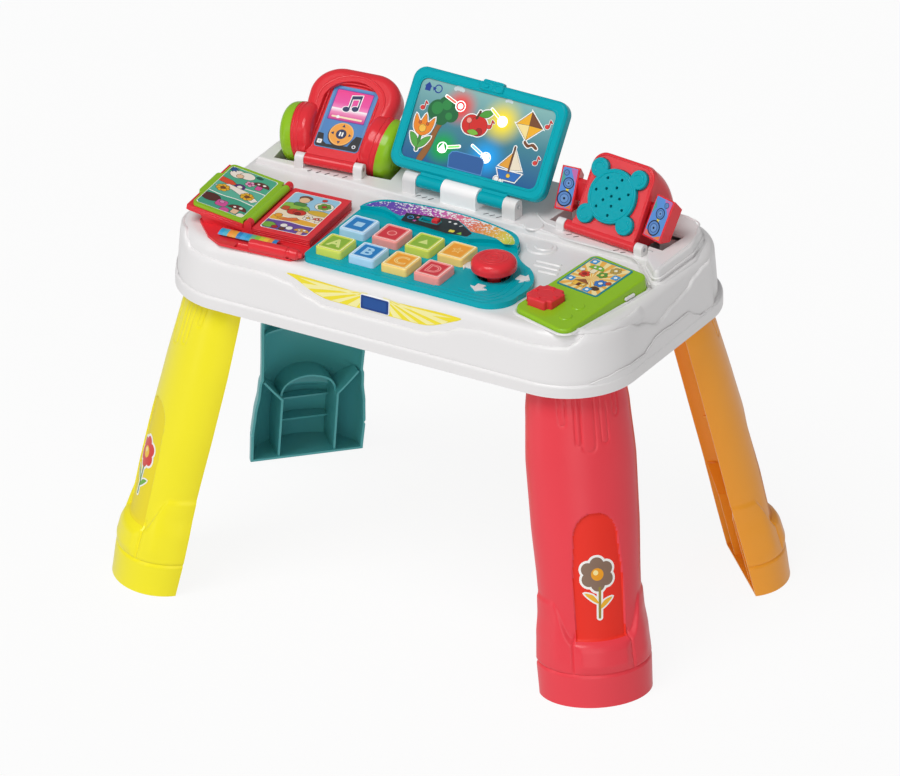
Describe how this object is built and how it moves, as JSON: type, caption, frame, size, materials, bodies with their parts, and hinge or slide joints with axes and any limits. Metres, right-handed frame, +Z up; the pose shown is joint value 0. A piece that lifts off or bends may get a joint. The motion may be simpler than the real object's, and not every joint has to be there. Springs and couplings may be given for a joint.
{
  "type": "activity table",
  "caption": "Toddler activity table on four splayed channel legs, with keys, joystick, turning book leaf, game pad, tilting music player, folding tablet and tilting loudspeaker.",
  "frame": {"origin": "on the floor, midway between the four feet, which is below the middle of the table top", "axes": "+X to the right of a child who stands in front, +Y away from the child, +Z up"},
  "size_m": [0.5758, 0.3718, 0.4705],
  "materials": {
    "white_shell": "fine satin grain",
    "leg_yellow": "satin",
    "leg_red": "satin",
    "leg_orange": "satin",
    "leg_teal": "satin",
    "teal": "smooth",
    "red": "smooth",
    "green": "smooth",
    "clear_green": "smooth, lit from below",
    "clear_blue": "smooth, lit from below",
    "clear_orange": "smooth, lit from below",
    "clear_red": "smooth, lit from below",
    "plate_green": "printed",
    "plate_blue": "printed",
    "plate_orange": "printed",
    "plate_red": "printed",
    "window": "tinted, with printed figures behind it",
    "picture": "printed label",
    "silicone": "matte",
    "board": "circuit board",
    "dark": "plain",
    "steel": "zinc plated",
    "cell": "plain sleeve"
  },
  "bodies": {
    "table": {"top_housing": "white_shell", "base_plate": "white_shell", "leg_front_left": "leg_yellow", "leg_front_right": "leg_red", "leg_back_left": "leg_teal", "leg_back_right": "leg_orange", "keyboard_panel": "teal", "key_mat": "silicone", "circuit_board": "board", "sound_driver": "dark", "batteries": "cell", "battery_contacts": "steel", "housing_screws": "steel", "book_base": "red", "book_pen": "red", "book_pin": "steel", "console_shell": "green", "console_screen": "picture", "tablet_hinge_cover": "white_shell", "player_hinge_pin": "steel", "tablet_hinge_pin": "steel", "speaker_hinge_pin": "steel"},
    "gimbal": {"joystick_gimbal": "dark"},
    "stick": {"joystick": "red"},
    "switch_knob": {"power_switch": "red"},
    "leaf": {"book_page": "green"},
    "direction_pad": {"console_pad": "red"},
    "player": {"player_front": "red", "player_back": "red", "player_picture": "picture", "ear_cup_left": "green", "ear_cup_right": "green"},
    "tablet": {"tablet_frame": "teal", "tablet_back": "teal", "tablet_window": "window", "tablet_lamps": "board"},
    "speaker": {"speaker_front": "red", "speaker_shell": "red", "side_box_left": "red", "side_box_right": "red"},
    "grille": {"speaker_grille": "teal"},
    "door": {"battery_door": "white_shell", "battery_door_screw": "steel"},
    "button_letter_a": {"key_letter_a": "clear_green", "key_letter_a_plate": "plate_green"},
    "button_letter_b": {"key_letter_b": "clear_blue", "key_letter_b_plate": "plate_blue"},
    "button_letter_c": {"key_letter_c": "clear_orange", "key_letter_c_plate": "plate_orange"},
    "button_letter_d": {"key_letter_d": "clear_red", "key_letter_d_plate": "plate_red"},
    "button_square": {"key_square": "clear_blue", "key_square_plate": "plate_blue"},
    "button_circle": {"key_circle": "clear_red", "key_circle_plate": "plate_red"},
    "button_triangle": {"key_triangle": "clear_green", "key_triangle_plate": "plate_green"},
    "button_star": {"key_star": "clear_orange", "key_star_plate": "plate_orange"}
  },
  "joints": [
    {"name": "joystick_fore_aft", "type": "hinge", "parent": "table", "child": "gimbal", "pos_m": [0.09, -0.069, 0.362], "axis": [1, 0, 0], "range_deg": [-10, 10], "stiffness_Nm_per_rad": 0.12},
    {"name": "joystick_side", "type": "hinge", "parent": "gimbal", "child": "stick", "pos_m": [0.09, -0.069, 0.362], "axis": [0, 1, 0], "range_deg": [-10, 10], "stiffness_Nm_per_rad": 0.12},
    {"name": "power_slide", "type": "slide", "parent": "table", "child": "switch_knob", "axis": [1, 0, 0], "range_m": [-0.013, 0]},
    {"name": "leaf_turn", "type": "hinge", "parent": "table", "child": "leaf", "pos_m": [-0.161, -0.061, 0.374], "axis": [-0.0698, 0.9976, 0], "range_deg": [0, 171]},
    {"name": "direction_pad_press", "type": "slide", "parent": "table", "child": "direction_pad", "axis": [0, 0, 1], "range_m": [-0.002, 0], "stiffness_N_per_m": 350, "springref_m": 0.0015},
    {"name": "player_tilt", "type": "hinge", "parent": "table", "child": "player", "pos_m": [-0.152, 0.038, 0.376], "axis": [0.9925, 0.1219, 0], "range_deg": [-18, 0]},
    {"name": "tablet_fold", "type": "hinge", "parent": "table", "child": "tablet", "pos_m": [-0.01, 0.042, 0.38], "axis": [1, 0, 0], "range_deg": [0, 112]},
    {"name": "speaker_tilt", "type": "hinge", "parent": "table", "child": "speaker", "pos_m": [0.143, 0.041, 0.3735], "axis": [0.9945, -0.1045, 0], "range_deg": [-20, 0]},
    {"name": "grille_press", "type": "slide", "parent": "speaker", "child": "grille", "axis": [-0.0886, -0.8434, 0.5299], "range_m": [-0.0016, 0], "stiffness_N_per_m": 400, "springref_m": 0.0015},
    {"name": "battery_door_out", "type": "slide", "parent": "table", "child": "door", "axis": [0, 0, -1], "range_m": [0, 0.05]},
    {"name": "button_letter_a_press", "type": "slide", "parent": "table", "child": "button_letter_a", "axis": [0, 0, 1], "range_m": [-0.0025, 0], "stiffness_N_per_m": 300, "springref_m": 0.002},
    {"name": "button_letter_b_press", "type": "slide", "parent": "table", "child": "button_letter_b", "axis": [0, 0, 1], "range_m": [-0.0025, 0], "stiffness_N_per_m": 300, "springref_m": 0.002},
    {"name": "button_letter_c_press", "type": "slide", "parent": "table", "child": "button_letter_c", "axis": [0, 0, 1], "range_m": [-0.0025, 0], "stiffness_N_per_m": 300, "springref_m": 0.002},
    {"name": "button_letter_d_press", "type": "slide", "parent": "table", "child": "button_letter_d", "axis": [0, 0, 1], "range_m": [-0.0025, 0], "stiffness_N_per_m": 300, "springref_m": 0.002},
    {"name": "button_square_press", "type": "slide", "parent": "table", "child": "button_square", "axis": [0, 0, 1], "range_m": [-0.0025, 0], "stiffness_N_per_m": 300, "springref_m": 0.002},
    {"name": "button_circle_press", "type": "slide", "parent": "table", "child": "button_circle", "axis": [0, 0, 1], "range_m": [-0.0025, 0], "stiffness_N_per_m": 300, "springref_m": 0.002},
    {"name": "button_triangle_press", "type": "slide", "parent": "table", "child": "button_triangle", "axis": [0, 0, 1], "range_m": [-0.0025, 0], "stiffness_N_per_m": 300, "springref_m": 0.002},
    {"name": "button_star_press", "type": "slide", "parent": "table", "child": "button_star", "axis": [0, 0, 1], "range_m": [-0.0025, 0], "stiffness_N_per_m": 300, "springref_m": 0.002}
  ]
}
